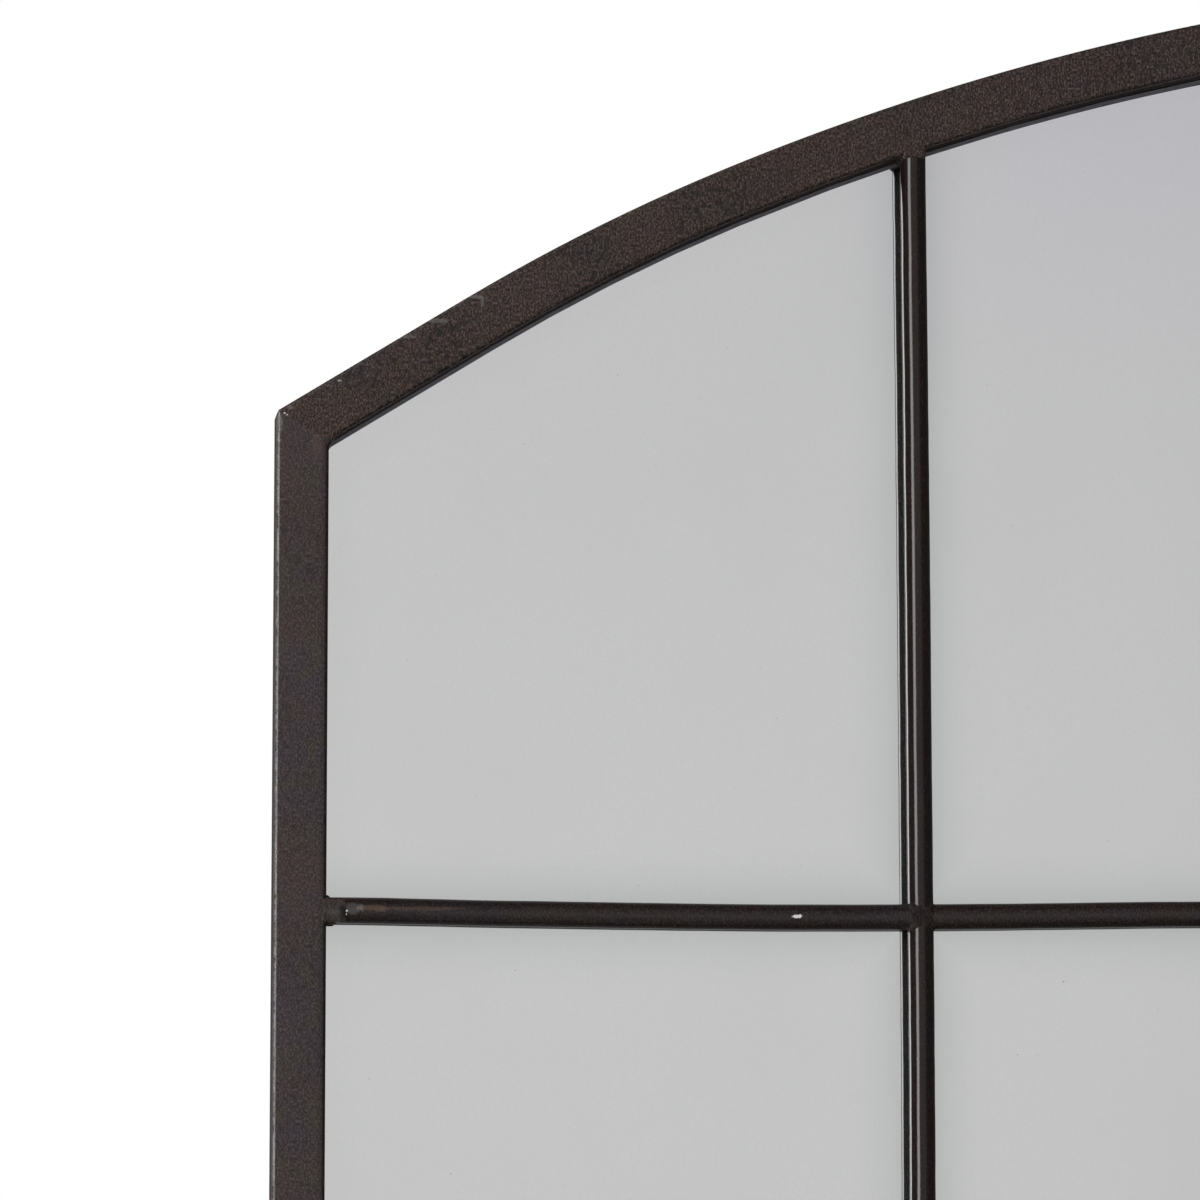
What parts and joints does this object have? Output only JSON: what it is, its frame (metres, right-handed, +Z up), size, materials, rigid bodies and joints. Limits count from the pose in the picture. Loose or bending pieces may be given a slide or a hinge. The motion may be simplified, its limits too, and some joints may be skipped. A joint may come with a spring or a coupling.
{
  "type": "arched window mirror",
  "caption": "Wall mirror shaped like an arched window: welded steel tube frame with round glazing bars in front of one mirror sheet, backed, with ring hangers.",
  "frame": {"origin": "middle of the bottom rail's underside, halfway through the tube's depth", "axes": "+Z up along the longest extent, +X to the right seen from the front, +Y towards the wall, so the mirror looks along -Y"},
  "size_m": [1.2, 0.028, 1.5979],
  "materials": {
    "frame_finish": "dark bronze-black antiqued paint, mottled, semi-gloss, rubbed at the edges",
    "bar_finish": "the frame's antiqued paint on round bar",
    "mirror": "silvered float glass",
    "hardboard": "brown hardboard, mesh-textured back",
    "edge_sealant": "black silicone bead",
    "foam_tape": "black closed-cell foam",
    "zinc_plate": "bright zinc plate",
    "screw_steel": "zinc-plated pan head screws",
    "ring_wire": "zinc-plated wire",
    "bumper_rubber": "moulded black rubber"
  },
  "bodies": {
    "mirror": {"left_stile": "frame_finish", "right_stile": "frame_finish", "bottom_rail": "frame_finish", "arch_rail": "frame_finish", "cross_bar_1": "bar_finish", "cross_bar_2": "bar_finish", "cross_bar_3": "bar_finish", "cross_bar_4": "bar_finish", "upright_1_1": "bar_finish", "upright_1_2": "bar_finish", "upright_1_3": "bar_finish", "upright_1_4": "bar_finish", "upright_1_5": "bar_finish", "upright_2_1": "bar_finish", "upright_2_2": "bar_finish", "upright_2_3": "bar_finish", "upright_2_4": "bar_finish", "upright_2_5": "bar_finish", "upright_3_1": "bar_finish", "upright_3_2": "bar_finish", "upright_3_3": "bar_finish", "upright_3_4": "bar_finish", "upright_3_5": "bar_finish", "upright_4_1": "bar_finish", "upright_4_2": "bar_finish", "upright_4_3": "bar_finish", "upright_4_4": "bar_finish", "upright_4_5": "bar_finish", "mirror_glass": "mirror", "back_board": "hardboard", "edge_sealant": "edge_sealant", "glazing_tape": "foam_tape", "retaining_tabs": "zinc_plate", "tab_screws": "screw_steel", "hanger_screws": "screw_steel", "left_hanger_strap": "zinc_plate", "right_hanger_strap": "zinc_plate", "wall_bumpers": "bumper_rubber"},
    "left_ring": {"left_hanger_ring": "ring_wire"},
    "right_ring": {"right_hanger_ring": "ring_wire"}
  },
  "joints": [
    {"name": "left_ring_pivot", "type": "hinge", "parent": "mirror", "child": "left_ring", "pos_m": [-0.59, 0.0134, 1.375], "axis": [1, 0, 0], "range_deg": [0, 180]},
    {"name": "right_ring_pivot", "type": "hinge", "parent": "mirror", "child": "right_ring", "pos_m": [0.59, 0.0134, 1.375], "axis": [1, 0, 0], "range_deg": [0, 180]}
  ]
}
